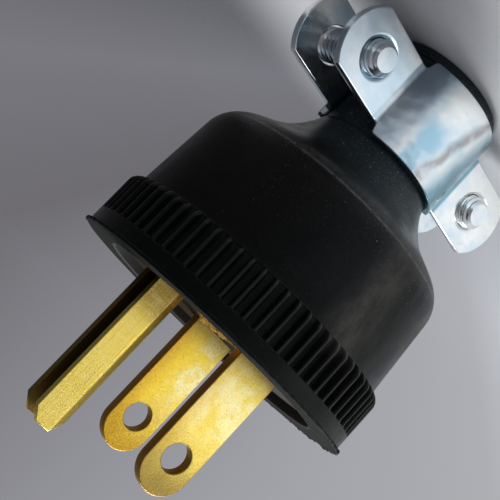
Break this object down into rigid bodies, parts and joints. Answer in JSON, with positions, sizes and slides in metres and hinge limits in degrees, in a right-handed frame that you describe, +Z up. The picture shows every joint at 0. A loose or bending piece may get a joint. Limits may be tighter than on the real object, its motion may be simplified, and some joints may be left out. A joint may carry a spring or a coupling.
{
  "type": "grounded plug",
  "caption": "Grounded mains plug with a ribbed black rubber body, flat brass blades, a folded ground pin and a bright screwed cord clamp on the neck.",
  "frame": {"origin": "middle of the neck's end face, where the cord goes in", "axes": "+Z up the plug's axis to the prongs, +X square to the blades' flat sides, +Y to the ground pin"},
  "size_m": [0.039, 0.039, 0.0602],
  "materials": {
    "rubber": "satin black",
    "fibre": "matte fibre board",
    "brass": "bright with light tarnish",
    "plated_steel": "bright zinc plated",
    "green_screw": "green lacquer"
  },
  "bodies": {
    "root": {"rubber_body": "rubber", "insulating_disc": "fibre", "line_blade": "brass", "neutral_blade": "brass", "ground_pin": "brass", "terminal_screws": "brass", "ground_screw": "green_screw", "clamp_half_front": "plated_steel", "clamp_half_rear": "plated_steel", "clamp_screws": "plated_steel"}
  },
  "joints": []
}
